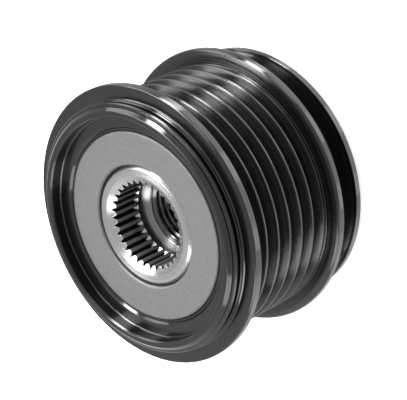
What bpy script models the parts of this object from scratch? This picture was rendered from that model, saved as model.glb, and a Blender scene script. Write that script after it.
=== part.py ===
"""Overrunning alternator pulley with six belt grooves, standing on the rear end of its hub.

Z is the turning axis and points to the front, where the serrated bore and the pale cover disc are.
The origin is the middle of the hub's rear face. Sizes are in metres, written as millimetres times mm.
"""

import math

import bmesh
import bpy

mm = 0.001

# Belt profile of the pulley ring
belt_pitch = 3.56 * mm
groove_count = 6
groove_angle = math.radians(40)
groove_depth = 3.0 * mm
crest_flat = 0.5 * mm
belt_wall = 4.95 * mm

# Pulley ring along the axis, from the rear
pulley_standoff = 0.8 * mm
rear_ring_width = 1.5 * mm
neck_width = 6.6 * mm
rear_flange_width = 2.2 * mm
rear_shoulder = 2.6 * mm
front_shoulder = 2.5 * mm
front_flange_width = 2.9 * mm
nose_height = 3.25 * mm
recess_depth = 2.75 * mm

# Pulley ring across the axis
flange_height = 3.1 * mm
flange_lean = 0.7 * mm
rim_round = 0.45 * mm
face_round = 0.7 * mm
neck_wall = 3.3 * mm
neck_fillet = 0.6 * mm
rear_ring_height = 3.3 * mm
ledge_width = 3.0 * mm
nose_wall = 2.0 * mm
nose_round = 0.4 * mm
lip_height = 0.8 * mm
snap_groove_depth = 1.0 * mm
seat_step = 2.05 * mm
seat_chamfer = 0.35 * mm

# Gaps between pieces
press_gap = 0.25 * mm
seat_gap = 0.3 * mm
running_gap = 0.3 * mm
roller_gap = 0.2 * mm
disc_gap = 0.75 * mm

# Hub
hub_face_width = 2.23 * mm
hub_step = 1.1 * mm
hub_chamfer = 0.5 * mm
hub_sink = 0.2 * mm
spline_teeth = 33
spline_clearance = 1.02 * mm
spline_height = 0.85 * mm
spline_root_flat = 0.2 * mm
spline_flank_angle = math.radians(36)
spline_length = 7.55 * mm
mouth_width = 1.0 * mm
mouth_slope = 0.5
relief_depth = 0.18 * mm
relief_length = 1.1 * mm
thread_radius = 8.0 * mm
thread_depth = 0.81 * mm
thread_lead_step = 0.15 * mm
thread_lead_height = 0.45 * mm
seat_bore_step = 0.5 * mm
seat_bore_length = 11.3 * mm
seat_bore_chamfer = 0.5 * mm

# Support bearings and the sleeve that they and the clutch run in
roller_count = 12
roller_diameter = 3.6 * mm
bearing_length = 6.8 * mm
cage_rim = 0.9 * mm
cage_wall = 1.4 * mm
sleeve_wall = 1.9 * mm

# One-way clutch
clutch_roller_count = 8
clutch_roller_diameter = 2.9 * mm
clutch_rim = 1.2 * mm
clutch_cage_wall = 1.6 * mm
ramp_angle = math.radians(5)
pocket_behind = math.radians(15.5)
pocket_ahead = math.radians(6.8)
ramp_stop = math.radians(17)
spring_strip = 0.5 * mm
spring_folds = 3
spring_width = 1.2 * mm

# Discs and seals
disc_thickness = 1.6 * mm
disc_sink = 0.1 * mm
disc_round = 0.35 * mm
disc_bevel = 0.6 * mm
rear_disc_thickness = 1.4 * mm
rear_disc_sink = 1.7 * mm
seal_thickness = 1.5 * mm
seal_wall = 0.25 * mm
seal_lip = 0.6 * mm

# Steps round the axis
pulley_steps = 48
disc_steps = 48
inner_steps = 36
roller_sides = 10

# Heights of the pulley ring's features
pulley_rear = pulley_standoff
neck_low = pulley_rear + rear_ring_width
neck_high = neck_low + neck_width
rear_foot = neck_high + rear_flange_width
first_groove = rear_foot + rear_shoulder
last_groove = first_groove + (groove_count - 1) * belt_pitch
front_foot = last_groove + front_shoulder
front_face = front_foot + front_flange_width
pulley_front = front_face + nose_height
recess_floor = pulley_front - recess_depth

# Heights of what the ring holds
disc_front = recess_floor - disc_sink
disc_back = disc_front - disc_thickness
front_seal_high = disc_back - seat_gap
front_seal_low = front_seal_high - seal_thickness
front_seat = front_seal_low - seat_gap
rear_disc_low = pulley_rear + rear_disc_sink
rear_disc_high = rear_disc_low + rear_disc_thickness
rear_seal_low = rear_disc_high + seat_gap
rear_seal_high = rear_seal_low + seal_thickness
rear_seat = rear_seal_high + seat_gap
hub_front = disc_front - hub_sink
front_bearing_high = front_seat - seat_gap
front_bearing_low = front_bearing_high - bearing_length
rear_bearing_low = rear_seat + seat_gap
rear_bearing_high = rear_bearing_low + bearing_length
clutch_low = rear_bearing_high + running_gap
clutch_high = front_bearing_low - running_gap

# Radii of the hub and its bore
thread_core_radius = thread_radius - thread_depth
seat_bore_radius = thread_radius + seat_bore_step
spline_core_radius = thread_radius + spline_clearance
spline_root_radius = spline_core_radius + spline_height
mouth_radius = spline_root_radius + mouth_width
hub_radius = mouth_radius + hub_face_width
hub_rear_radius = hub_radius - hub_step

# Radii of what stands around the hub, out to the pulley ring
roller_radius = roller_diameter / 2
roller_circle = hub_radius + roller_gap + roller_radius
sleeve_bore = roller_circle + roller_radius + roller_gap
sleeve_radius = sleeve_bore + sleeve_wall
pulley_bore = sleeve_radius + press_gap
seat_radius = pulley_bore + seat_step
recess_radius = seat_radius + ledge_width
nose_radius = recess_radius + nose_wall
neck_radius = seat_radius + neck_wall
rear_ring_radius = neck_radius + rear_ring_height
rib_radius = pulley_bore + belt_wall + groove_depth
flange_radius = rib_radius + flange_height
disc_radius = seat_radius - disc_gap
clutch_roller_radius = clutch_roller_diameter / 2
clutch_circle = sleeve_bore - roller_gap - clutch_roller_radius
ramp_distance = clutch_circle * math.cos(ramp_angle) - clutch_roller_radius - roller_gap
clutch_cage_outer = sleeve_bore - running_gap
clutch_cage_inner = clutch_cage_outer - clutch_cage_wall
ramp_top_radius = clutch_cage_inner - running_gap


def new_material(name, colour, roughness, metallic):
    material = bpy.data.materials.new(name)
    material.use_nodes = True
    shader = material.node_tree.nodes["Principled BSDF"]
    shader.inputs["Base Color"].default_value = (*colour, 1)
    shader.inputs["Roughness"].default_value = roughness
    shader.inputs["Metallic"].default_value = metallic
    return material


def new_object(name, bm, finish, parent=None, smooth=True):
    """Makes the bmesh a named object with its own material, under the empty of its axis."""
    bmesh.ops.recalc_face_normals(bm, faces=bm.faces)
    mesh = bpy.data.meshes.new(name)
    bm.to_mesh(mesh)
    bm.free()
    if smooth:
        mesh.shade_smooth()
        mesh.set_sharp_from_angle(angle=math.radians(30))
    mesh.materials.append(new_material(name, *finish))
    obj = bpy.data.objects.new(name, mesh)
    bpy.context.scene.collection.objects.link(obj)
    obj.parent = parent
    return obj


def new_axis(name, parent=None):
    """An empty on the axis that a body turns on."""
    empty = bpy.data.objects.new(name, None)
    empty.empty_display_size = flange_radius
    bpy.context.scene.collection.objects.link(empty)
    empty.parent = parent
    return empty


def turned(name, outline, steps, finish, parent=None):
    """A closed outline of (radius, height) points, turned once round Z."""
    bm = bmesh.new()
    verts = [bm.verts.new((radius, 0, height)) for radius, height in outline]
    edges = [bm.edges.new((a, b)) for a, b in zip(verts, verts[1:] + verts[:1])]
    bmesh.ops.spin(bm, geom=verts + edges, axis=(0, 0, 1), cent=(0, 0, 0), angle=2 * math.pi, steps=steps)
    bmesh.ops.remove_doubles(bm, verts=bm.verts, dist=1e-7)
    return new_object(name, bm, finish, parent)


def prism(outline, low, high):
    """A bmesh of a flat outline of (x, y) points, drawn up from one height to another."""
    bm = bmesh.new()
    face = bm.faces.new([bm.verts.new((x, y, low)) for x, y in outline])
    grown = bmesh.ops.extrude_face_region(bm, geom=[face])
    moved = [item for item in grown["geom"] if isinstance(item, bmesh.types.BMVert)]
    bmesh.ops.translate(bm, verts=moved, vec=(0, 0, high - low))
    return bm


def polar(radius, angle):
    return radius * math.cos(angle), radius * math.sin(angle)


def groove_points(centre):
    """One belt groove from its front crest to its rear crest: two flanks that meet a flat root."""
    half_mouth = (belt_pitch - crest_flat) / 2
    half_root = half_mouth - groove_depth * math.tan(groove_angle / 2)
    root = rib_radius - groove_depth
    return [
        (rib_radius, centre + half_mouth),
        (root, centre + half_root),
        (root, centre - half_root),
        (rib_radius, centre - half_mouth),
    ]


def nose_points():
    """The front collar: its inner wall, land, snap lip and snap groove, down to the flange's face."""
    lip_radius = nose_radius + lip_height
    groove_radius = lip_radius - snap_groove_depth
    step = (pulley_front - front_face) / 8
    return [
        (recess_radius, pulley_front - nose_round),
        (recess_radius + nose_round, pulley_front),
        (nose_radius - nose_round, pulley_front),
        (nose_radius, pulley_front - nose_round),
        (nose_radius, pulley_front - 2 * step),
        (lip_radius, pulley_front - 3 * step),
        (lip_radius, pulley_front - 4 * step),
        (groove_radius, pulley_front - 4.5 * step),
        (groove_radius, pulley_front - 6 * step),
        (lip_radius, pulley_front - 6.5 * step),
        (lip_radius, pulley_front - 7.2 * step),
        (lip_radius + 0.8 * step, front_face),
    ]


def pulley_points():
    """The whole outline of the pulley ring, down its outside and up its inside."""
    front_flange = [
        (flange_radius - face_round, front_face),
        (flange_radius, front_face - face_round),
        (flange_radius, front_foot + flange_lean + rim_round),
        (flange_radius - rim_round, front_foot + flange_lean),
        (rib_radius, front_foot),
    ]
    grooves = []
    for index in reversed(range(groove_count)):
        grooves += groove_points(first_groove + index * belt_pitch)
    rear_flange = [
        (rib_radius, rear_foot),
        (flange_radius - rim_round, rear_foot - flange_lean / 2),
        (flange_radius, rear_foot - flange_lean / 2 - rim_round),
        (flange_radius, neck_high + rim_round),
        (flange_radius - rim_round, neck_high),
        (neck_radius + neck_fillet, neck_high),
    ]
    rear_ring = [
        (neck_radius, neck_high - neck_fillet),
        (neck_radius, neck_low + neck_fillet),
        (neck_radius + neck_fillet, neck_low),
        (rear_ring_radius - rim_round, neck_low),
        (rear_ring_radius, neck_low - rim_round),
        (rear_ring_radius, pulley_rear + rim_round),
        (rear_ring_radius - rim_round, pulley_rear),
    ]
    inside = [
        (seat_radius + seat_chamfer, pulley_rear),
        (seat_radius, pulley_rear + seat_chamfer),
        (seat_radius, rear_seat),
        (pulley_bore, rear_seat),
        (pulley_bore, front_seat),
        (seat_radius, front_seat),
        (seat_radius, recess_floor - seat_chamfer),
        (seat_radius + seat_chamfer, recess_floor),
        (recess_radius, recess_floor),
    ]
    return nose_points() + front_flange + grooves + rear_flange + rear_ring + inside


def hub_points():
    """The hub's outline before its serration is cut: the stepped outside, then the bore."""
    relief_radius = spline_root_radius + relief_depth
    lead_radius = spline_core_radius + thread_lead_step
    mouth_depth = (mouth_radius - spline_core_radius) * mouth_slope
    spline_low = hub_front - spline_length
    relief_low = spline_low - relief_length
    thread_top = relief_low - thread_lead_height
    seat_cone = seat_bore_radius - thread_core_radius
    return [
        (hub_radius - hub_chamfer, hub_front),
        (hub_radius, hub_front - hub_chamfer),
        (hub_radius, front_bearing_low),
        (hub_rear_radius, front_bearing_low),
        (hub_rear_radius, hub_chamfer),
        (hub_rear_radius - hub_chamfer, 0),
        (seat_bore_radius + seat_bore_chamfer, 0),
        (seat_bore_radius, seat_bore_chamfer),
        (seat_bore_radius, seat_bore_length),
        (thread_core_radius, seat_bore_length + seat_cone),
        (thread_core_radius, thread_top - thread_depth),
        (thread_radius, thread_top),
        (lead_radius, relief_low),
        (relief_radius, relief_low),
        (relief_radius, spline_low),
        (spline_core_radius, spline_low),
        (spline_core_radius, hub_front - mouth_depth),
        (mouth_radius, hub_front),
    ]


def make_pulley_ring(parent):
    black_coating = ((0.03, 0.03, 0.033), 0.28, 0.6)
    return turned("pulley_ring", pulley_points(), pulley_steps, black_coating, parent)


def spline_outline():
    """A star with a flat for the root of each tooth space and a point under each tooth's tip."""
    pitch_angle = 2 * math.pi / spline_teeth
    root_angle = spline_root_flat / 2 / spline_root_radius
    flank_width = spline_root_radius * pitch_angle / 2 - spline_root_flat / 2
    point_radius = spline_root_radius - flank_width / math.tan(spline_flank_angle)
    outline = []
    for tooth in range(spline_teeth):
        space = tooth * pitch_angle
        outline.append(polar(spline_root_radius, space - root_angle))
        outline.append(polar(spline_root_radius, space + root_angle))
        outline.append(polar(point_radius, space + pitch_angle / 2))
    return outline


def make_hub():
    """The inner shaft. Its bore is serrated at the front, then relieved, threaded and bored for a seat."""
    steel = ((0.42, 0.42, 0.43), 0.35, 0.9)
    hub = turned("hub_shaft", hub_points(), spline_teeth, steel)
    low = hub_front - spline_length - relief_length / 2
    high = hub_front + spline_height
    cutter = new_object("spline_cutter", prism(spline_outline(), low, high), steel, smooth=False)
    cutter.hide_render = True
    cutter.display_type = "WIRE"
    cut = hub.modifiers.new("serration", "BOOLEAN")
    cut.operation = "DIFFERENCE"
    cut.solver = "EXACT"
    cut.object = cutter
    return hub


def make_sleeve(parent):
    """The hardened outer race, pressed into the ring between its two seats."""
    outline = [
        (sleeve_bore, rear_bearing_low),
        (sleeve_radius, rear_bearing_low),
        (sleeve_radius, front_bearing_high),
        (sleeve_bore, front_bearing_high),
    ]
    return turned("clutch_sleeve", outline, inner_steps, ((0.4, 0.4, 0.42), 0.25, 1.0), parent)


def make_rear_race():
    """The ring that brings the hub's stepped-down end back to the raceway radius of the rear bearing."""
    inner = hub_rear_radius + press_gap
    outline = [
        (inner, rear_bearing_low),
        (hub_radius, rear_bearing_low),
        (hub_radius, rear_bearing_high),
        (inner, rear_bearing_high),
    ]
    return turned("rear_race", outline, inner_steps, ((0.45, 0.45, 0.47), 0.25, 1.0))


def make_front_disc():
    """The pale cover disc, pressed on the hub, with a rolled outer edge and a bevelled bore."""
    inner = hub_radius + running_gap
    outline = [
        (inner, disc_back),
        (disc_radius, disc_back),
        (disc_radius, disc_front - disc_round),
        (disc_radius - disc_round, disc_front),
        (inner + disc_bevel, disc_front),
        (inner, disc_front - disc_bevel),
    ]
    return turned("front_disc", outline, disc_steps, ((0.34, 0.34, 0.35), 0.5, 0.85))


def make_rear_disc():
    """The flinger disc on the rear of the hub, set back inside the ring."""
    inner = hub_rear_radius + press_gap
    outline = [
        (inner, rear_disc_low),
        (disc_radius - disc_round, rear_disc_low),
        (disc_radius, rear_disc_low + disc_round),
        (disc_radius, rear_disc_high),
        (inner, rear_disc_high),
    ]
    return turned("rear_disc", outline, inner_steps, ((0.34, 0.34, 0.35), 0.5, 0.85))


def make_seal(name, shaft_radius, low, high, wall_end, parent):
    """A rubber cup seal: a web that thins to a lip at the shaft, and a thin wall beside the disc."""
    outer = seat_radius - press_gap
    lip = shaft_radius + running_gap
    facing = high if wall_end > high else low
    back = low if wall_end > high else high
    middle = (low + high) / 2
    outline = [
        (lip, middle),
        (lip + seal_lip, back),
        (outer, back),
        (outer, wall_end),
        (outer - seal_wall, wall_end),
        (outer - seal_wall, facing),
        (lip + seal_lip, facing),
    ]
    return turned(name, outline, disc_steps, ((0.012, 0.012, 0.012), 0.6, 0.0), parent)


def pocketed_ring(name, radii, levels, pockets, parts, finish, parent=None):
    """A cage: a ring of inner and outer radius with a window through its wall at each (start, end) angle.

    levels holds the ring's lower edge, the windows' lower and upper edges and the ring's upper edge. Each
    window and each bar between two windows is parts faces wide.
    """
    angles = []
    open_cells = []
    starts = [start for start, _ in pockets]
    for (start, end), following in zip(pockets, starts[1:] + [starts[0] + 2 * math.pi]):
        for low, high, is_open in ((start, end, True), (end, following, False)):
            for part in range(parts):
                angles.append(low + (high - low) * part / parts)
                open_cells.append(is_open)
    count = len(angles)
    bm = bmesh.new()
    grid = [[[bm.verts.new((*polar(radius, a), z)) for a in angles] for z in levels] for radius in radii]

    def side(shell, column, level):
        return grid[shell][level][column % count]

    for column in range(count):
        after = column + 1
        for level in range(3):
            if level == 1 and open_cells[column]:
                continue
            for shell in (0, 1):
                corners = ((column, level), (after, level), (after, level + 1), (column, level + 1))
                bm.faces.new([side(shell, c, z) for c, z in corners])
        edges = [0, 3] + ([1, 2] if open_cells[column] else [])
        for level in edges:
            corners = ((0, column), (0, after), (1, after), (1, column))
            bm.faces.new([side(shell, c, level) for shell, c in corners])
        if open_cells[column] != open_cells[column - 1]:
            corners = ((0, 1), (1, 1), (1, 2), (0, 2))
            bm.faces.new([side(shell, column, level) for shell, level in corners])
    return new_object(name, bm, finish, parent, smooth=False)


def make_bearing(place, low, parent):
    """A caged roller bearing: the cage turns about the hub, each roller about its own axis in the cage."""
    cage_nylon = ((0.05, 0.045, 0.04), 0.5, 0.0)
    bearing_steel = ((0.5, 0.5, 0.52), 0.18, 1.0)
    cage_axis = new_axis(f"{place}_cage_axis", parent)
    high = low + bearing_length
    radii = (roller_circle - cage_wall / 2, roller_circle + cage_wall / 2)
    levels = (low, low + cage_rim, high - cage_rim, high)
    half_window = math.asin((roller_radius + roller_gap) / roller_circle)
    middles = [2 * math.pi * index / roller_count for index in range(roller_count)]
    pockets = [(middle - half_window, middle + half_window) for middle in middles]
    pocketed_ring(f"{place}_cage", radii, levels, pockets, 1, cage_nylon, cage_axis)
    length = bearing_length - 2 * (cage_rim + roller_gap)
    for index, middle in enumerate(middles, start=1):
        roller = make_roller(f"{place}_roller_{index}", roller_radius, length, bearing_steel, cage_axis)
        roller.location = (*polar(roller_circle, middle), (low + high) / 2)
        roller.rotation_euler.z = middle


def make_roller(name, radius, length, finish, parent=None):
    bm = bmesh.new()
    ends = {"radius1": radius, "radius2": radius, "cap_ends": True}
    bmesh.ops.create_cone(bm, segments=roller_sides, depth=length, **ends)
    return new_object(name, bm, finish, parent)


def ramp_sector(middle):
    """The outer and inner angles and outer radius of one ramp's points, from its foot to the next stop."""
    shift = math.radians(1)
    foot = -ramp_stop
    top = math.acos(ramp_distance / ramp_top_radius) - ramp_angle
    next_stop = 2 * math.pi / clutch_roller_count - ramp_stop
    points = [(middle - foot, middle - foot - shift, ramp_distance / math.cos(foot + ramp_angle))]
    for part in (1, 2, 3):
        angle = foot + (top - foot) * part / 3
        points.append((middle - angle, middle - angle, ramp_distance / math.cos(angle + ramp_angle)))
    land = (top + next_stop) / 2
    points.append((middle - land, middle - land, ramp_top_radius))
    points.append((middle - next_stop, middle - next_stop + shift, ramp_top_radius))
    return points


def make_ramp_ring():
    """The clutch's inner race: a ring with a flat ramp for each roller, from a stop up to the top radius.

    The ramps rise clockwise seen from the front: the pulley drives the hub that way and overruns the other.
    """
    inner_radius = hub_rear_radius + press_gap
    points = []
    for index in range(clutch_roller_count):
        points += ramp_sector(-2 * math.pi * index / clutch_roller_count)
    bm = bmesh.new()
    rings = []
    for height in (clutch_low, clutch_high):
        rings.append([bm.verts.new((*polar(radius, outer), height)) for outer, _, radius in points])
        rings.append([bm.verts.new((*polar(inner_radius, inner), height)) for _, inner, _ in points])
    low_out, low_in, high_out, high_in = rings
    for ring_a, ring_b in ((low_out, high_out), (low_in, high_in), (low_out, low_in), (high_out, high_in)):
        for index in range(len(points)):
            bm.faces.new([ring_a[index - 1], ring_a[index], ring_b[index], ring_b[index - 1]])
    return new_object("ramp_ring", bm, ((0.45, 0.45, 0.47), 0.25, 1.0), smooth=False)


def clutch_levels():
    return (clutch_low, clutch_low + clutch_rim, clutch_high - clutch_rim, clutch_high)


def make_clutch_cage():
    """The clutch's cage, which stays with the ramps. Each window holds a roller and the spring behind it."""
    sector = 2 * math.pi / clutch_roller_count
    middles = [index * sector for index in range(clutch_roller_count)]
    pockets = [(middle - pocket_ahead, middle + pocket_behind) for middle in middles]
    radii = (clutch_cage_inner, clutch_cage_outer)
    pocketed_ring("clutch_cage", radii, clutch_levels(), pockets, 2, ((0.08, 0.07, 0.05), 0.5, 0.0))


def spring_outline():
    """A folded leaf between the roller and the window's end: a zigzag strip along Y at X = clutch_circle."""
    start = clutch_roller_radius + seat_gap
    end = clutch_circle * math.sin(pocket_behind) - seat_gap
    line = []
    for fold in range(spring_folds + 1):
        side = spring_width / 2 if fold % 2 else -spring_width / 2
        line.append((clutch_circle + side, start + (end - start) * fold / spring_folds))
    outer = [(x + spring_strip / 2, y) for x, y in line]
    inner = [(x - spring_strip / 2, y) for x, y in reversed(line)]
    return outer + inner


def make_clutch_pieces():
    """The clutch's rollers and the springs that push them up their ramps."""
    sector = 2 * math.pi / clutch_roller_count
    _, window_low, window_high, _ = clutch_levels()
    length = window_high - window_low - 2 * roller_gap
    steel = ((0.5, 0.5, 0.52), 0.18, 1.0)
    spring_steel = ((0.35, 0.34, 0.33), 0.35, 1.0)
    for index in range(clutch_roller_count):
        angle = index * sector
        roller = make_roller(f"clutch_roller_{index + 1}", clutch_roller_radius, length, steel)
        roller.location = (*polar(clutch_circle, angle), (window_low + window_high) / 2)
        roller.rotation_euler.z = angle
        strip = prism(spring_outline(), window_low + length / 4, window_high - length / 4)
        spring = new_object(f"clutch_spring_{index + 1}", strip, spring_steel, smooth=False)
        spring.rotation_euler.z = angle


def main():
    for obj in list(bpy.data.objects):
        bpy.data.objects.remove(obj)
    pulley_axis = new_axis("pulley_axis")
    make_pulley_ring(pulley_axis)
    make_sleeve(pulley_axis)
    front_wall_end = disc_front - disc_sink - disc_round
    rear_wall_end = rear_disc_low + disc_round
    make_seal("front_seal", hub_radius, front_seal_low, front_seal_high, front_wall_end, pulley_axis)
    make_seal("rear_seal", hub_rear_radius, rear_seal_low, rear_seal_high, rear_wall_end, pulley_axis)
    make_hub()
    make_rear_race()
    make_front_disc()
    make_rear_disc()
    make_ramp_ring()
    make_clutch_cage()
    make_clutch_pieces()
    hub_axis = new_axis("hub_axis")
    make_bearing("front", front_bearing_low, hub_axis)
    make_bearing("rear", rear_bearing_low, hub_axis)


main()
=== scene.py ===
import math

import bpy
import numpy as np
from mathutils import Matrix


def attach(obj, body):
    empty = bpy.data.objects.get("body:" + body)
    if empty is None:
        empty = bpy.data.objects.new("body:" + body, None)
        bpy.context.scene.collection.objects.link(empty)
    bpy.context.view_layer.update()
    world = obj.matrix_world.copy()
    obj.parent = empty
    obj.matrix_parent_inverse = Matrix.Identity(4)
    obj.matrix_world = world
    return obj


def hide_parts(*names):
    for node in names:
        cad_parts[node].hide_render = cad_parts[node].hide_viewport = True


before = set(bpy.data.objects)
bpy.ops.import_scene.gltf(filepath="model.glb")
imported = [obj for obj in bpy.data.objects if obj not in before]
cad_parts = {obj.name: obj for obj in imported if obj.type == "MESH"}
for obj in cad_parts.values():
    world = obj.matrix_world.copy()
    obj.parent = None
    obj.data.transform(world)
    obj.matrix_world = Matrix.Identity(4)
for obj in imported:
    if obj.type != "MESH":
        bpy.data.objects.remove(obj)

# An overrunning alternator pulley, seen with its front to the left.
# Z is the turning axis and points to the front; sizes below are in millimetres, turned to metres by mm.

mm = 0.001
scene = bpy.context.scene
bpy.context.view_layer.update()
print("frame loaded:", len(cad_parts), "nodes")


# A closed outline of (radius, height, rounding) corners, walked with the metal on its right.
# Each corner becomes an arc that touches both sides; the normal swings from one side's to the other's.
def roundedOutline(corners, arcStep=15):
    spots = np.array(corners, float)
    place, rounding = spots[:, :2], spots[:, 2]
    points, normals = [], []
    for here, before, after, radius in zip(place, np.roll(place, 1, 0), np.roll(place, -1, 0), rounding):
        arriving = (here - before) / np.linalg.norm(here - before)
        leaving = (after - here) / np.linalg.norm(after - here)
        turn = math.atan2(arriving[0] * leaving[1] - arriving[1] * leaving[0], arriving @ leaving)
        # A rounding takes less than half of the shorter side.
        room = 0.49 * min(np.linalg.norm(here - before), np.linalg.norm(after - here))
        reach = min(radius * math.tan(abs(turn) / 2), room)
        radius = reach / math.tan(abs(turn) / 2)
        side = -math.copysign(1, turn)            # 1 on an outer corner, -1 on an inner one
        firstNormal = np.array([-arriving[1], arriving[0]])
        centre = here - arriving * reach - firstNormal * radius * side
        swing = np.linspace(0, turn, max(3, math.ceil(abs(math.degrees(turn)) / arcStep) + 1))
        normal = np.stack([
            firstNormal[0] * np.cos(swing) - firstNormal[1] * np.sin(swing),
            firstNormal[0] * np.sin(swing) + firstNormal[1] * np.cos(swing),
        ], 1)
        points.append(centre + normal * radius * side)
        normals.append(normal)
    return np.concatenate(points), np.concatenate(normals)


# Quads between the rows and columns of x, y and z; both directions close on themselves.
def gridMesh(name, x, y, z):
    rows, columns = x.shape
    index = np.arange(rows * columns).reshape(rows, columns)
    below, beside = np.roll(index, -1, 0), np.roll(index, -1, 1)
    quads = np.stack([index, below, np.roll(below, -1, 1), beside], 2).reshape(-1, 4)
    mesh = bpy.data.meshes.new(name)
    mesh.vertices.add(rows * columns)
    mesh.vertices.foreach_set("co", np.stack([x, y, z], 2).astype(np.float32).ravel())
    mesh.loops.add(quads.size)
    mesh.loops.foreach_set("vertex_index", quads.ravel().astype(np.int32))
    mesh.polygons.add(len(quads))
    mesh.polygons.foreach_set("loop_start", np.arange(0, quads.size, 4, dtype=np.int32))
    mesh.update(calc_edges=True)
    mesh.validate()
    piece = bpy.data.objects.new(name, mesh)
    scene.collection.objects.link(piece)
    return piece


# The outline turned once about Z: x = r cos a, y = r sin a; normals are the outline's own, turned with it.
def revolve(name, corners, columns):
    points, normals = roundedOutline(corners)
    angle = np.linspace(0, 2 * math.pi, columns, endpoint=False)
    radius, height = points[:, :1] * mm, points[:, 1:] * mm
    ones = np.ones_like(angle)
    piece = gridMesh(name, radius * np.cos(angle), radius * np.sin(angle), height * ones)
    across, along = normals[:, :1], normals[:, 1:]
    turned = np.stack([across * np.cos(angle), across * np.sin(angle), along * ones], 2).reshape(-1, 3)
    piece.data.shade_smooth()
    piece.data.normals_split_custom_set_from_vertices(turned.tolist())
    return piece


def addNode(tree, kind, **settings):
    node = tree.nodes.new(kind)
    for key, value in settings.items():
        if key in node.inputs:
            node.inputs[key].default_value = value
        else:
            setattr(node, key, value)
    return node


# Fine rings left by turning: noise that changes fast across radius and height and slowly round the axis.
def makeTurningMarks():
    group = bpy.data.node_groups.new("turningMarks", "ShaderNodeTree")
    inputs = {"Coordinate": "NodeSocketVector", "Lines": "NodeSocketFloat", "Wander": "NodeSocketFloat"}
    for label, kind in inputs.items():
        group.interface.new_socket(label, in_out="INPUT", socket_type=kind)
    group.interface.new_socket("Marks", in_out="OUTPUT", socket_type="NodeSocketFloat")
    start = addNode(group, "NodeGroupInput")
    end = addNode(group, "NodeGroupOutput")
    split = addNode(group, "ShaderNodeSeparateXYZ")
    flat = addNode(group, "ShaderNodeCombineXYZ")
    radius = addNode(group, "ShaderNodeVectorMath", operation="LENGTH")
    direction = addNode(group, "ShaderNodeVectorMath", operation="NORMALIZE")
    around = addNode(group, "ShaderNodeSeparateXYZ")
    radiusLines = addNode(group, "ShaderNodeMath", operation="MULTIPLY")
    heightLines = addNode(group, "ShaderNodeMath", operation="MULTIPLY")
    sideways = addNode(group, "ShaderNodeMath", operation="MULTIPLY")
    ahead = addNode(group, "ShaderNodeMath", operation="MULTIPLY")
    place = addNode(group, "ShaderNodeCombineXYZ")
    noise = addNode(group, "ShaderNodeTexNoise", noise_dimensions="4D", Scale=1.0, Detail=2.0, Roughness=0.6)
    link = group.links.new
    link(start.outputs["Coordinate"], split.inputs[0])
    link(split.outputs["X"], flat.inputs["X"])
    link(split.outputs["Y"], flat.inputs["Y"])
    link(flat.outputs[0], radius.inputs[0])
    link(flat.outputs[0], direction.inputs[0])
    link(direction.outputs[0], around.inputs[0])
    for node, source in ((radiusLines, radius.outputs["Value"]), (heightLines, split.outputs["Z"])):
        link(source, node.inputs[0])
        link(start.outputs["Lines"], node.inputs[1])
    for node, axis in ((sideways, "X"), (ahead, "Y")):
        link(around.outputs[axis], node.inputs[0])
        link(start.outputs["Wander"], node.inputs[1])
    link(radiusLines.outputs[0], place.inputs["X"])
    link(heightLines.outputs[0], place.inputs["Y"])
    link(sideways.outputs[0], place.inputs["Z"])
    link(place.outputs[0], noise.inputs["Vector"])
    link(ahead.outputs[0], noise.inputs["W"])
    link(noise.outputs[0], end.inputs["Marks"])
    return group


# Small even grain, as on blasted or phosphated steel and on rubber.
def makeGrain():
    group = bpy.data.node_groups.new("surfaceGrain", "ShaderNodeTree")
    for label, kind in (("Coordinate", "NodeSocketVector"), ("Scale", "NodeSocketFloat")):
        group.interface.new_socket(label, in_out="INPUT", socket_type=kind)
    group.interface.new_socket("Grain", in_out="OUTPUT", socket_type="NodeSocketFloat")
    start = addNode(group, "NodeGroupInput")
    end = addNode(group, "NodeGroupOutput")
    noise = addNode(group, "ShaderNodeTexNoise", Detail=3.0, Roughness=0.65)
    group.links.new(start.outputs["Coordinate"], noise.inputs["Vector"])
    group.links.new(start.outputs["Scale"], noise.inputs["Scale"])
    group.links.new(noise.outputs[0], end.inputs["Grain"])
    return group


turningMarks = makeTurningMarks()
surfaceGrain = makeGrain()
noiseRange = (0.3, 0.7)        # nearly all of the noise lies between these


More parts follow.
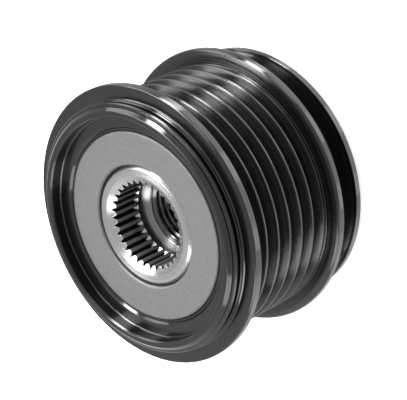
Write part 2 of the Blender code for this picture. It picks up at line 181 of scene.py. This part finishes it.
# A finish: marks and grain vary its colour, roughness and height; all its constants are the shader's own.
def makeFinish(name, look):
    material = bpy.data.materials.new(name)
    material.use_nodes = True
    tree = material.node_tree
    link = tree.links.new
    shader = tree.nodes["Principled BSDF"]
    shader.inputs["Metallic"].default_value = look["metallic"]
    shader.inputs["Specular IOR Level"].default_value = look.get("specular", 0.5)
    shader.inputs["Anisotropic"].default_value = look.get("anisotropic", 0.0)
    shader.inputs["Anisotropic Rotation"].default_value = look.get("anisotropicTurn", 0.25)
    where = addNode(tree, "ShaderNodeTexCoord")
    marks = addNode(tree, "ShaderNodeGroup", node_tree=turningMarks)
    marks.inputs["Lines"].default_value = look["lines"]
    marks.inputs["Wander"].default_value = look["wander"]
    grain = addNode(tree, "ShaderNodeGroup", node_tree=surfaceGrain)
    grain.inputs["Scale"].default_value = look["grainScale"]
    link(where.outputs["Object"], marks.inputs["Coordinate"])
    link(where.outputs["Object"], grain.inputs["Coordinate"])
    mixed = addNode(tree, "ShaderNodeMix", data_type="FLOAT")
    mixed.inputs[0].default_value = look["grainShare"]
    link(marks.outputs[0], mixed.inputs[2])
    link(grain.outputs[0], mixed.inputs[3])
    colour = addNode(tree, "ShaderNodeValToRGB")
    for stop, position, shade in zip(colour.color_ramp.elements, noiseRange, ("dark", "light")):
        stop.position = position
        stop.color = (*look[shade], 1)
    link(mixed.outputs[0], colour.inputs[0])
    link(colour.outputs[0], shader.inputs["Base Color"])
    rough = addNode(tree, "ShaderNodeMapRange")
    rough.inputs["From Min"].default_value = noiseRange[0]
    rough.inputs["From Max"].default_value = noiseRange[1]
    rough.inputs["To Min"].default_value = look["smoothest"]
    rough.inputs["To Max"].default_value = look["roughest"]
    link(mixed.outputs[0], rough.inputs["Value"])
    link(rough.outputs[0], shader.inputs["Roughness"])
    bump = addNode(tree, "ShaderNodeBump", Strength=look["bump"], Distance=look["bumpDepth"] * mm)
    link(mixed.outputs[0], bump.inputs["Height"])
    link(bump.outputs[0], shader.inputs["Normal"])
    return material


# The finishes take the piece's slots in order, so a face's material index counts along them.
def wear(piece, *finishes):
    piece.data.materials.clear()
    for finish in finishes:
        piece.data.materials.append(finish)


belt = {
    "pitch": 3.56,
    "firstGroove": 13.73,        # height of the rearmost groove
    "grooves": 6,
    "halfAngle": 20,             # degrees, of one groove
    "crestRadius": 27.17,
    "crestFlat": 0.5,
    "crestRound": 0.24,
    "rootRound": 0.5,
    "columns": 240,
    "finishHeight": (10.95, 33.85),        # of the grooves and the rear flange's front face
    "finishRadius": (21.8, 30.2),
}

coating = {
    "dark": (0.0008, 0.0008, 0.0008), "light": (0.002, 0.002, 0.002), "metallic": 0.0, "specular": 0.5,
    "anisotropic": 0.92, "smoothest": 0.13, "roughest": 0.18,
    "lines": 3000, "wander": 0.8, "grainScale": 1500, "grainShare": 0.15, "bump": 0.3, "bumpDepth": 0.012,
}
# Turning left the grooves streakier than the rest.
ribFinish = {"anisotropic": 1.0, "smoothest": 0.12, "roughest": 0.34, "bump": 0.35}


# Straight flanks at the half angle to a pointed root; the roundings then give crests and roots their radii.
def beltGrooves():
    halfMouth = (belt["pitch"] - belt["crestFlat"]) / 2
    root = belt["crestRadius"] - halfMouth / math.tan(math.radians(belt["halfAngle"]))
    corners = []
    for index in reversed(range(belt["grooves"])):
        middle = belt["firstGroove"] + index * belt["pitch"]
        corners.append((belt["crestRadius"], middle + halfMouth, belt["crestRound"]))
        corners.append((root, middle, belt["rootRound"]))
        corners.append((belt["crestRadius"], middle - halfMouth, belt["crestRound"]))
    return corners


collarCorners = [
    (24.3, 37.4, 0.35), (24.3, 39.85, 0.15), (24.62, 40.15, 0.15), (25.6, 40.15, 0.3), (26.3, 39.5, 0.12),
    (26.3, 39.42, 0.05), (26.12, 39.36, 0.06), (26.12, 39.26, 0.06), (26.9, 39.13, 0.15),
    (27.12, 38.95, 0.15), (27.12, 38.63, 0.12), (26.95, 38.5, 0.1), (26.1, 38.42, 0.25), (26.1, 37.76, 0.25),
    (26.95, 37.66, 0.1), (27.12, 37.52, 0.12), (27.12, 37.1, 0.2), (27.45, 36.93, 0.3),
]
frontFlangeCorners = [
    (30.3, 36.93, 0.4), (30.3, 35.2, 0.25), (29.9, 34.82, 0.3), (27.75, 33.95, 0.4), (27.17, 33.85, 0.12),
]
rearFlangeCorners = [
    (27.17, 11.62, 0.1), (26.95, 11.5, 0.08), (26.95, 11.35, 0.08), (27.2, 11.22, 0.12),
    (29.0, 11.25, 2.5), (30.3, 11.0, 0.75), (30.3, 9.4, 0.3), (29.9, 9.05, 0.3), (29.0, 8.98, 0.3),
]
rearRingCorners = [
    (24.5, 8.9, 0.6), (24.5, 3.7, 0.8), (27.25, 2.5, 0.15), (27.9, 2.3, 0.15), (27.9, 0.8, 0.35),
    (21.65, 0.8, 0.1), (21.3, 1.15, 0.1),
]
ringBoreCorners = [
    (21.3, 6.0, 0.1), (19.25, 6.0, 0.1), (19.25, 33.6, 0.1), (21.12, 33.6, 0.1),
    (21.12, 36.95, 0.08), (21.57, 37.4, 0.08),
]

frontCorners = collarCorners + frontFlangeCorners
rearCorners = rearFlangeCorners + rearRingCorners
ringCorners = frontCorners + beltGrooves() + rearCorners + ringBoreCorners
beltRing = revolve("beltRing", ringCorners, belt["columns"])
wear(beltRing, makeFinish("coatedBlack", coating), makeFinish("ribbedBlack", coating | ribFinish))

# Faces on the grooves take the second finish.
centres = np.empty(len(beltRing.data.polygons) * 3, np.float32)
beltRing.data.polygons.foreach_get("center", centres)
centres = centres.reshape(-1, 3) / mm
fromAxis = np.hypot(centres[:, 0], centres[:, 1])
(lowest, highest), (least, most) = belt["finishHeight"], belt["finishRadius"]
onRibs = (centres[:, 2] > lowest) & (centres[:, 2] < highest) & (fromAxis > least) & (fromAxis < most)
beltRing.data.polygons.foreach_set("material_index", onRibs.astype(np.int32))
beltRing.data.update()
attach(beltRing, "pulley")
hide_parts("pulley_ring")
print("belt ring:", len(beltRing.data.polygons), "faces")


hub = {
    "front": 37.1, "outer": 13.1, "outerBevel": 0.75, "mouth": 10.87, "mouthSlope": 0.5,
    "teeth": 33, "tip": 9.02, "root": 9.87, "rootFlat": 0.12, "flankAngle": 28,
    "toothEnd": 29.5, "runOut": 0.8,
    "reliefRadius": 9.92, "reliefEnd": 28.05, "leadRadius": 9.7, "leadEnd": 27.2,
    "threadMajor": 8.0, "threadMinor": 7.19, "threadPitch": 1.5, "threadStart": 12.6,
    "threadFlat": 0.125, "threadFlank": 0.625,        # shares of half a pitch, from the middle out
    "seatRadius": 8.5, "seatLength": 11.3, "shoulder": 26.4, "rearRadius": 12.0, "endBevel": 0.5,
    "flankSteps": 5, "arcStep": 22, "threadStep": 0.15, "fineStep": 0.06, "sharpAngle": 28,
}

turnedSteel = {
    "dark": (0.29, 0.29, 0.295), "light": (0.38, 0.38, 0.385), "metallic": 1.0,
    "anisotropic": 0.85, "smoothest": 0.23, "roughest": 0.3,
    "lines": 5200, "wander": 0.6, "grainScale": 2600, "grainShare": 0.35, "bump": 0.12, "bumpDepth": 0.01,
}


# The angles of the columns, as shares of a tooth's pitch, and the wall's radius there: a flat root, two
# straight flanks and a narrow tip.
def toothColumns():
    pitchAngle = 2 * math.pi / hub["teeth"]
    rootShare = hub["rootFlat"] / 2 / hub["root"] / pitchAngle
    height = hub["root"] - hub["tip"]
    halfSpace = hub["rootFlat"] / 2 + height * math.tan(math.radians(hub["flankAngle"]))
    tipShare = halfSpace / hub["tip"] / pitchAngle
    rise = np.linspace(0, 1, hub["flankSteps"])
    share = rootShare + (tipShare - rootShare) * rise
    radius = hub["root"] - height * rise
    shares = np.concatenate([share, [0.5], 1 - share[::-1]])
    radii = np.concatenate([radius, [hub["tip"]], radius[::-1]])
    tooth = np.arange(hub["teeth"])[:, None]
    return ((tooth + shares) * pitchAngle).ravel(), np.tile(radii, hub["teeth"])


# The bore's straight runs cut into short steps wherever the height is within the given range.
def closeRows(points, low, high, step):
    rows = []
    for start, end in zip(points, np.roll(points, -1, 0)):
        rise = end[1] - start[1]
        shares = np.zeros(1)
        if max(start[0], end[0]) < hub["mouth"] + 0.01 and abs(rise) > 0.05:
            first, last = np.clip(np.sort([(low - start[1]) / rise, (high - start[1]) / rise]), 0, 1)
            parts = math.ceil((last - first) * np.linalg.norm(end - start) / step)
            if parts > 0:
                shares = np.unique(np.concatenate([shares, np.linspace(first, last, parts + 1)]))
        rows.append(start + (end - start) * shares[shares < 0.999, None])
    return np.concatenate(rows)


# The bore's wall is the larger of the turned outline, the tooth spaces and the thread's groove. A space ends
# on a run-out cone; the groove's centre climbs one pitch for each turn, and it is a 60 degree V with flats.
def hubSurface():
    mouthDepth = (hub["mouth"] - hub["tip"]) * hub["mouthSlope"]
    corners = [
        (hub["mouth"], hub["front"], 0.08),
        (hub["outer"] - hub["outerBevel"], hub["front"], 0.15),
        (hub["outer"], hub["front"] - hub["outerBevel"], 0.15),
        (hub["outer"], hub["shoulder"], 0.1),
        (hub["rearRadius"], hub["shoulder"], 0.1),
        (hub["rearRadius"], hub["endBevel"], 0.1),
        (hub["rearRadius"] - hub["endBevel"], 0.0, 0.1),
        (hub["seatRadius"] + hub["endBevel"], 0.0, 0.1),
        (hub["seatRadius"], hub["endBevel"], 0.1),
        (hub["seatRadius"], hub["seatLength"], 0.1),
        (hub["threadMinor"], hub["threadStart"], 0.05),
        (hub["threadMinor"], hub["leadEnd"] - 0.7, 0.05),
        (hub["threadMajor"] + 0.05, hub["leadEnd"], 0.05),
        (hub["leadRadius"], hub["reliefEnd"], 0.08),
        (hub["reliefRadius"], hub["reliefEnd"] + 0.04, 0.04),
        (hub["reliefRadius"], hub["toothEnd"], 0.05), (hub["tip"], hub["toothEnd"] + 0.02, 0.04),
        (hub["tip"], hub["front"] - mouthDepth, 0.04),
    ]
    points, _ = roundedOutline(corners, hub["arcStep"])
    points = closeRows(points, hub["seatLength"] + 0.2, hub["leadEnd"] - 0.01, hub["threadStep"])
    runOutTop = hub["toothEnd"] + hub["runOut"]
    mouthBottom = hub["front"] - mouthDepth
    points = closeRows(points, hub["toothEnd"] + 0.03, runOutTop + 0.03, hub["fineStep"])
    points = closeRows(points, mouthBottom - 0.02, hub["front"] - 0.01, hub["fineStep"])
    angle, spaceRadius = toothColumns()
    radius = np.repeat(points[:, :1], len(angle), 1)
    height = np.repeat(points[:, 1:], len(angle), 1)
    inBore = radius < hub["mouth"] + 0.01

    runOut = hub["tip"] + (hub["root"] - hub["tip"]) * (height - hub["toothEnd"]) / hub["runOut"]
    space = np.minimum(spaceRadius[None, :], runOut)
    splined = inBore & (height > hub["toothEnd"] + 0.015)
    radius = np.where(splined, np.maximum(radius, space), radius)

    along = (height / hub["threadPitch"] - angle[None, :] / (2 * math.pi)) % 1
    fromGroove = np.abs(along - 0.5) * 2
    cut = 1 - np.clip((fromGroove - hub["threadFlat"]) / hub["threadFlank"], 0, 1)
    groove = hub["threadMinor"] + (hub["threadMajor"] - hub["threadMinor"]) * cut
    threaded = inBore & (height > hub["seatLength"]) & (height < hub["leadEnd"] + 0.02)
    radius = np.where(threaded, np.maximum(radius, groove), radius)

    # The finish of each face, counted as innerShaft's slots are; the spaces, thread and relief carry painted
    # shade.
    toothed = splined & (height > runOutTop) & (height < mouthBottom + 0.02)
    inSpace = toothed & (radius > hub["tip"] + 0.1)
    inThread = inBore & (height < hub["leadEnd"] - 0.3)
    inRelief = inBore & (height < hub["toothEnd"] - 0.05)
    slot = np.select([inSpace, toothed, inThread, inRelief], [1, 2, 4, 3], 0)
    return radius * mm, height * mm, angle, slot


# Deep in the bore the tooth spaces, the relief groove and the thread are coloured darker than the hub's
# steel: painted shade.
boreFinishesAndShade = {
    # Near black: painted shade between the teeth.
    "toothSpacePaintedShade": {
        "dark": (0.004, 0.004, 0.004), "light": (0.016, 0.016, 0.016), "metallic": 0.0, "specular": 0.15,
        "anisotropic": 0.4, "anisotropicTurn": 0.0, "smoothest": 0.4, "roughest": 0.5,
        "lines": 900, "wander": 60, "grainScale": 1800, "grainShare": 0.4, "bump": 0.1, "bumpDepth": 0.01,
    },
    "broachedTips": {
        "dark": (0.3, 0.3, 0.303), "light": (0.42, 0.42, 0.425), "metallic": 1.0,
        "anisotropic": 0.4, "anisotropicTurn": 0.0, "smoothest": 0.45, "roughest": 0.55,
        "lines": 900, "wander": 60, "grainScale": 1800, "grainShare": 0.4, "bump": 0.1, "bumpDepth": 0.01,
    },
    # Darker than the hub's steel: painted shade in the relief groove.
    "reliefSteelPaintedShade": {
        "dark": (0.1, 0.1, 0.101), "light": (0.22, 0.22, 0.222), "metallic": 1.0,
        "anisotropic": 0.7, "smoothest": 0.2, "roughest": 0.28,
        "lines": 5200, "wander": 0.6, "grainScale": 2600, "grainShare": 0.2, "bump": 0.2, "bumpDepth": 0.01,
    },
    # Darker still: painted shade down the thread.
    "threadSteelPaintedShade": {
        "dark": (0.04, 0.04, 0.04), "light": (0.09, 0.09, 0.091), "metallic": 1.0,
        "anisotropic": 0.7, "smoothest": 0.17, "roughest": 0.25,
        "lines": 5200, "wander": 0.6, "grainScale": 2600, "grainShare": 0.35, "bump": 0.2, "bumpDepth": 0.01,
    },
}
hubRadius, hubHeight, hubAngle, hubSlot = hubSurface()
innerShaft = gridMesh("innerShaft", hubRadius * np.cos(hubAngle), hubRadius * np.sin(hubAngle), hubHeight)
innerShaft.data.shade_smooth()
innerShaft.data.set_sharp_from_angle(angle=math.radians(hub["sharpAngle"]))
hubFinishesAndShade = {"hubSteel": turnedSteel} | boreFinishesAndShade
wear(innerShaft, *(makeFinish(name, look) for name, look in hubFinishesAndShade.items()))
innerShaft.data.polygons.foreach_set("material_index", hubSlot.ravel().astype(np.int32))
innerShaft.data.update()
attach(innerShaft, "hub")
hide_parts("hub_shaft")
print("inner shaft:", len(innerShaft.data.polygons), "faces")


discFinish = {
    "dark": (0.12, 0.12, 0.121), "light": (0.17, 0.17, 0.172), "metallic": 1.0,
    "smoothest": 0.58, "roughest": 0.68,
    "lines": 900, "wander": 2.0, "grainScale": 2400, "grainShare": 0.85, "bump": 0.5, "bumpDepth": 0.012,
}
rubberFinish = {
    "dark": (0.006, 0.006, 0.006), "light": (0.014, 0.014, 0.014), "metallic": 0.0,
    "smoothest": 0.5, "roughest": 0.7,
    "lines": 1500, "wander": 1.0, "grainScale": 3000, "grainShare": 0.6, "bump": 0.3, "bumpDepth": 0.01,
}

discColumns = 288
frontDiscCorners = [
    (13.55, 37.3, 0.15), (20.6, 37.3, 0.5), (20.6, 35.7, 0.1), (13.25, 35.7, 0.1), (13.25, 37.0, 0.1),
]
rearDiscCorners = [
    (12.3, 3.9, 0.1), (20.5, 3.9, 0.15), (20.5, 2.5, 0.35), (12.3, 2.5, 0.15),
]
frontSealCorners = [
    (14.0, 35.4, 0.1), (20.8, 35.4, 0.1), (20.8, 36.85, 0.08), (21.05, 36.85, 0.08), (21.05, 33.9, 0.15),
    (14.0, 33.9, 0.3), (13.4, 34.65, 0.1),
]
rearSealCorners = [
    (12.3, 4.95, 0.1), (12.9, 5.7, 0.3), (21.05, 5.7, 0.15), (21.05, 2.85, 0.08), (20.8, 2.85, 0.08),
    (20.8, 4.2, 0.1), (12.9, 4.2, 0.1),
]

discSteel = makeFinish("discSteel", discFinish)
sealRubber = makeFinish("sealRubber", rubberFinish)
for name, corners, finish, body, node in (
    ("coverDisc", frontDiscCorners, discSteel, "hub", "front_disc"),
    ("flingerDisc", rearDiscCorners, discSteel, "hub", "rear_disc"),
    ("frontLipSeal", frontSealCorners, sealRubber, "pulley", "front_seal"),
    ("rearLipSeal", rearSealCorners, sealRubber, "pulley", "rear_seal"),
):
    piece = revolve(name, corners, discColumns)
    wear(piece, finish)
    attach(piece, body)
    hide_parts(node)
print("discs and seals made")


innerFinishes = {
    "raceSteel": {
        "dark": (0.36, 0.36, 0.37), "light": (0.5, 0.5, 0.51), "metallic": 1.0, "anisotropic": 0.5,
        "smoothest": 0.14, "roughest": 0.26, "lines": 6000, "wander": 0.4, "grainScale": 3000,
        "grainShare": 0.3, "bump": 0.15, "bumpDepth": 0.006,
    },
    "cageNylon": {
        "dark": (0.035, 0.03, 0.022), "light": (0.06, 0.052, 0.04), "metallic": 0.0,
        "smoothest": 0.42, "roughest": 0.6, "lines": 900, "wander": 1.0, "grainScale": 1800,
        "grainShare": 0.8, "bump": 0.3, "bumpDepth": 0.01,
    },
    "springSteel": {
        "dark": (0.26, 0.25, 0.24), "light": (0.38, 0.37, 0.35), "metallic": 1.0,
        "smoothest": 0.25, "roughest": 0.4, "lines": 3000, "wander": 1.0, "grainScale": 2500,
        "grainShare": 0.5, "bump": 0.2, "bumpDepth": 0.006,
    },
}
raceSteel, cageNylon, springSteel = (makeFinish(name, look) for name, look in innerFinishes.items())
for name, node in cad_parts.items():
    if "cage" in name:
        wear(node, cageNylon)
    elif "spring" in name:
        wear(node, springSteel)
    elif "roller" in name or name in ("clutch_sleeve", "rear_race", "ramp_ring"):
        wear(node, raceSteel)
print("inner pieces finished")


studio = {
    "floorSize": 3.0,        # metres
    "floorDrop": 0.00004,        # metres under the part
    "floorPoints": 9,
    "floorColour": (0.8, 0.8, 0.8),
    "floorGlow": 0.62,
    "background": 1.0,        # what the camera, metal and glass see
    "fill": 0.35,             # what falls on the pieces from all round
}


# 1 where the camera looks, directly or by a mirror or glass, and 0 for light that only falls on a piece.
def seenDirectly(tree):
    path = addNode(tree, "ShaderNodeLightPath")
    reflected = addNode(tree, "ShaderNodeMath", operation="MAXIMUM")
    either = addNode(tree, "ShaderNodeMath", operation="MAXIMUM")
    tree.links.new(path.outputs["Is Glossy Ray"], reflected.inputs[0])
    tree.links.new(path.outputs["Is Transmission Ray"], reflected.inputs[1])
    tree.links.new(path.outputs["Is Camera Ray"], either.inputs[0])
    tree.links.new(reflected.outputs[0], either.inputs[1])
    return either.outputs[0]


# A flat grid: x and y run evenly from side to side and z stays just under the part.
def makeFloor():
    side = np.linspace(-studio["floorSize"] / 2, studio["floorSize"] / 2, studio["floorPoints"])
    x, y = np.meshgrid(side, side)
    places = np.stack([x, y, np.full_like(x, -studio["floorDrop"])], 2).reshape(-1, 3)
    index = np.arange(x.size).reshape(x.shape)
    quads = np.stack([index[:-1, :-1], index[:-1, 1:], index[1:, 1:], index[1:, :-1]], 2).reshape(-1, 4)
    mesh = bpy.data.meshes.new("floor")
    mesh.from_pydata(places.tolist(), [], quads.tolist())
    floor = bpy.data.objects.new("floor", mesh)
    scene.collection.objects.link(floor)
    material = bpy.data.materials.new("paleFloor")
    material.use_nodes = True
    shader = material.node_tree.nodes["Principled BSDF"]
    shader.inputs["Base Color"].default_value = (*studio["floorColour"], 1)
    shader.inputs["Roughness"].default_value = 0.8
    shader.inputs["Specular IOR Level"].default_value = 0.0
    shader.inputs["Emission Strength"].default_value = studio["floorGlow"]
    material.node_tree.links.new(seenDirectly(material.node_tree), shader.inputs["Emission Color"])
    mesh.materials.append(material)
    floor.visible_glossy = False
    floor.visible_diffuse = False
    floor.visible_shadow = False


def makeWorld():
    world = bpy.data.worlds.new("studio")
    world.use_nodes = True
    tree = world.node_tree
    back = tree.nodes["Background"]
    strength = addNode(tree, "ShaderNodeMix", data_type="FLOAT")
    strength.inputs[2].default_value = studio["fill"]
    strength.inputs[3].default_value = studio["background"]
    tree.links.new(seenDirectly(tree), strength.inputs[0])
    tree.links.new(strength.outputs[0], back.inputs["Strength"])
    back.inputs["Color"].default_value = (1, 1, 1, 1)
    scene.world = world


# Each lamp is a far disc of light: azimuth and elevation of its middle, half its angle and its brightness.
# Those below the horizon shine up past the floor, which casts no shadow, as a white table would.
lamps = {
    "keyMiddle": (17.6, 0, 8, 44),
    "keyRise": (19, 17, 8, 20),
    "keyFall": (19, -17, 8, 15),
    "keyUpper": (25, 33, 8, 38),
    "keyLower": (25, -34, 8, 12),
    "keyTop": (35, 48, 7, 26),
    "keyOver": (74, 45, 6, 12),
    "keyBeyond": (80, 58, 7, 34),
    "keyHigh": (83, 68, 6, 20),
    "frontSoft": (-5, 16, 16, 4),
    "besideKey": (50, 14, 16, 4),
    "keyBeside": (60, 35, 9, 4),
    "underSoft": (-15, -40, 30, 2.0),
    "rimSoft": (-70, -45, 30, 1.8),
    "rearSoft": (-130, -36, 30, 1.1),
    "rightSoft": (-122, 3, 22, 2.0),
    "tableWide": (180, 0, 60, 0.4),
    "tableNear": (-163, 53, 10, 9.0),
    "tableSide": (160, 40, 12, 0.4),
    "tableBack": (-142, 30, 12, 4.0),
}


def makeLamps():
    for name, (azimuth, elevation, half, radiance) in lamps.items():
        data = bpy.data.lights.new(name, "SUN")
        data.angle = math.radians(2 * half)
        data.energy = radiance * math.pi * math.sin(math.radians(half)) ** 2
        lamp = bpy.data.objects.new(name, data)
        lamp.rotation_euler = (0, math.radians(90 - elevation), math.radians(azimuth))
        scene.collection.objects.link(lamp)


view = {
    "place": (201.558, -282.120, 327.379),        # mm
    "turn": (-25.8917, 42.4097, -90.1433),        # degrees
    "lens": 194.6,
    "sensor": 36.0,
    "near": 0.01,        # metres
    "far": 20.0,
}


def makeCamera():
    data = bpy.data.cameras.new("camera")
    data.lens = view["lens"]
    data.sensor_width = view["sensor"]
    data.clip_start = view["near"]
    data.clip_end = view["far"]
    camera = bpy.data.objects.new("camera", data)
    camera.location = [value * mm for value in view["place"]]
    camera.rotation_euler = [math.radians(value) for value in view["turn"]]
    scene.collection.objects.link(camera)
    scene.camera = camera


makeFloor()
makeWorld()
makeLamps()
makeCamera()
scene.view_settings.view_transform = "Standard"
print("studio ready")
